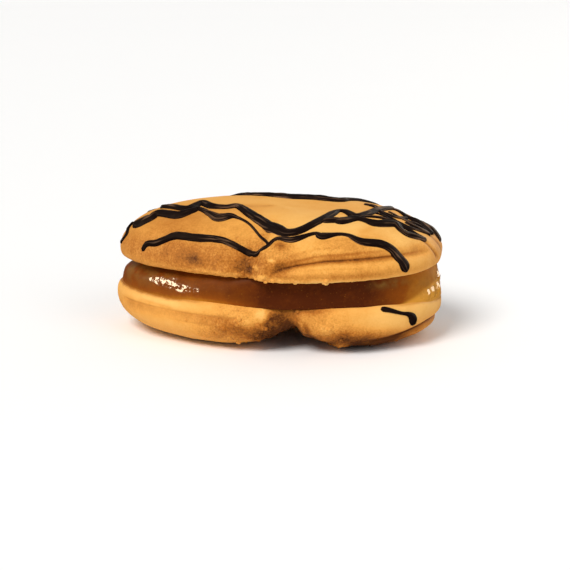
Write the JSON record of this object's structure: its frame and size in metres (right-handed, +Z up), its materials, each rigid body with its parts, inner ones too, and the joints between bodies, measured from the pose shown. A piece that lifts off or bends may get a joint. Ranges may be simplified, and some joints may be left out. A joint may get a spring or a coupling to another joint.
{
  "type": "jam crescent cookie",
  "caption": "Sandwich cookie of piped shortbread crescents, flat sides together with jam between them, and dark chocolate drizzled over the top.",
  "frame": {"origin": "middle of the footprint, on the surface that the cookie rests on", "axes": "+X along the long side towards the cookie's right end as seen from the seams, -Y towards the side with the seams, +Z up"},
  "size_m": [0.0655, 0.0422, 0.0267],
  "materials": {
    "biscuit": "matt, baked golden brown",
    "jam": "glossy, amber brown"
  },
  "bodies": {
    "root": {"top_biscuit": "biscuit", "bottom_biscuit": "biscuit", "jam_filling": "jam"}
  },
  "joints": []
}
